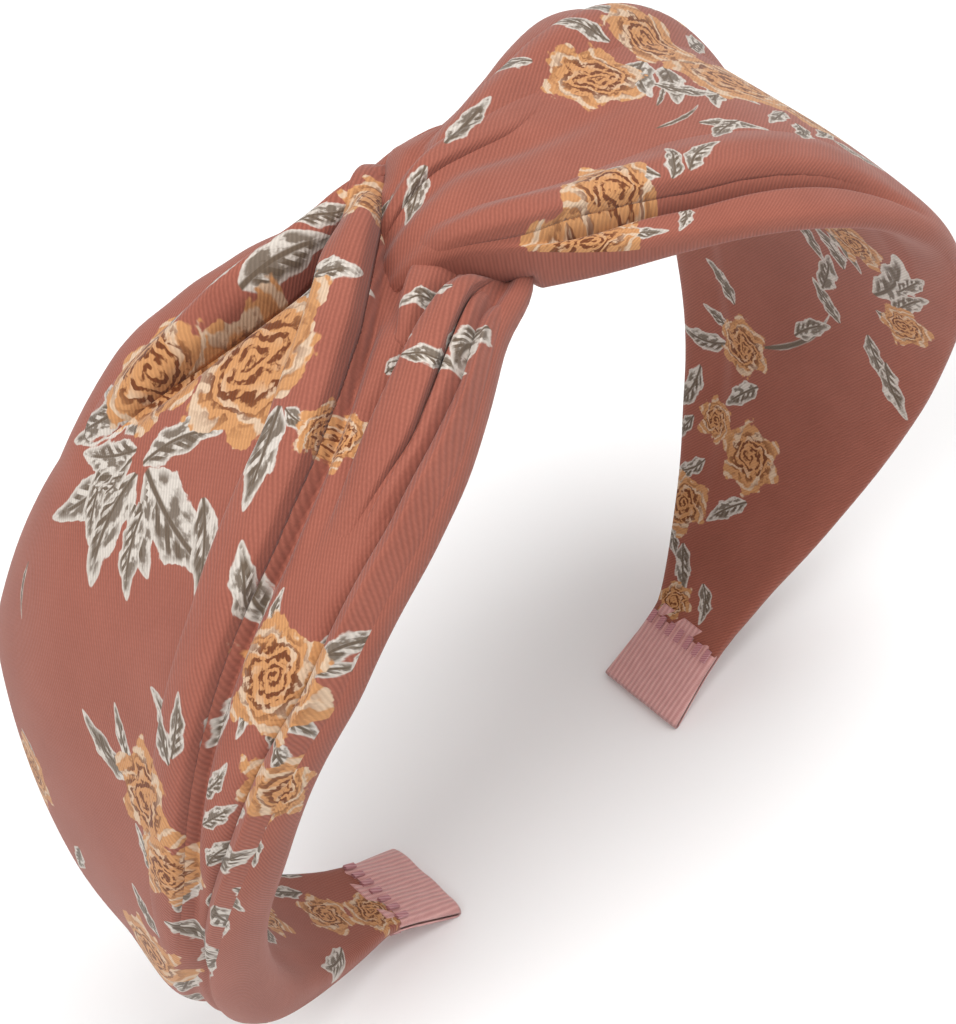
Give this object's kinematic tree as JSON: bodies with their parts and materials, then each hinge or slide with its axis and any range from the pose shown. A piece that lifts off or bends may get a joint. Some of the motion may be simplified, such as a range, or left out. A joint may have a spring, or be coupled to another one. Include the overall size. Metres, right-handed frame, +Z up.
{
  "type": "knotted headband",
  "caption": "Wide turban-style headband with a twisted front knot in floral twill, padded over a flexible plastic core, with ribbon-covered tips.",
  "frame": {"origin": "midway between the two tips, on the plane that the tips stand on", "axes": "+Z up towards the knot, +X towards the wearer's left arm of the band, -Y to the front edge"},
  "size_m": [0.1606, 0.07, 0.1596],
  "materials": {
    "core_plastic": "satin moulded plastic",
    "foam": "soft open foam",
    "floral_twill": "fine diagonal twill with a printed floral pattern, slight satin sheen",
    "grosgrain_ribbon": "ribbed ribbon with a soft sheen",
    "overcast_thread": "matt sewing thread"
  },
  "bodies": {
    "crown": {"crown_core": "core_plastic", "crown_lining": "floral_twill", "left_knot_loop": "floral_twill", "right_knot_loop": "floral_twill", "knot_tacks": "overcast_thread"},
    "left_arm": {"left_core_arm": "core_plastic", "left_foam_pad": "foam", "left_inner_lining": "floral_twill", "left_panel_front_leg": "floral_twill", "left_panel_back_leg": "floral_twill", "left_tip_ribbon": "grosgrain_ribbon", "left_gather_stitches": "overcast_thread"},
    "right_arm": {"right_core_arm": "core_plastic", "right_foam_pad": "foam", "right_inner_lining": "floral_twill", "right_panel_front_leg": "floral_twill", "right_panel_back_leg": "floral_twill", "right_tip_ribbon": "grosgrain_ribbon", "right_gather_stitches": "overcast_thread"}
  },
  "joints": [
    {"name": "left_arm_flex", "type": "hinge", "parent": "crown", "child": "left_arm", "pos_m": [-0.02, 0, 0.1406], "axis": [0, 1, 0], "range_deg": [-3, 14], "stiffness_Nm_per_rad": 1.4},
    {"name": "right_arm_flex", "type": "hinge", "parent": "crown", "child": "right_arm", "pos_m": [0.02, 0, 0.1406], "axis": [0, -1, 0], "range_deg": [-3, 14], "stiffness_Nm_per_rad": 1.4}
  ]
}
